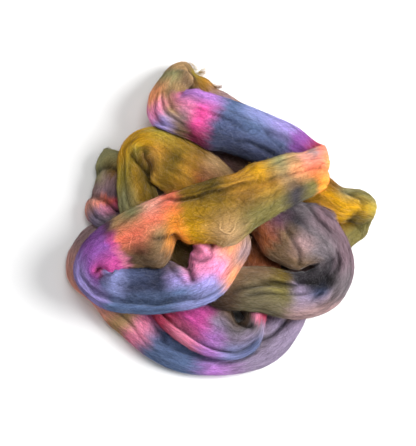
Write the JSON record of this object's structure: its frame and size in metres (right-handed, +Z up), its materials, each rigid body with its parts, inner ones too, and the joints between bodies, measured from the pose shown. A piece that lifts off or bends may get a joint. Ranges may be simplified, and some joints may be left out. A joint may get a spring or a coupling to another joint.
{
  "type": "wool roving heap",
  "caption": "Loose strand of hand-dyed wool roving laid in a low heap of soft loops and folds on a flat surface, for spinning, felting or craft work",
  "frame": {"origin": "on the surface the heap rests on, under the middle of the heap's bounding box", "axes": "+Z up, +Y towards the side of the heap's loose end and top lobe, +X towards the end with the golden folded tip"},
  "size_m": [0.2485, 0.2648, 0.0712],
  "materials": {
    "dyed_wool": "matt, soft and fuzzy combed wool fibre, dyed in blending patches of pink, magenta, slate blue, olive, mustard and orange"
  },
  "bodies": {
    "root": {"roving": "dyed_wool"}
  },
  "joints": []
}
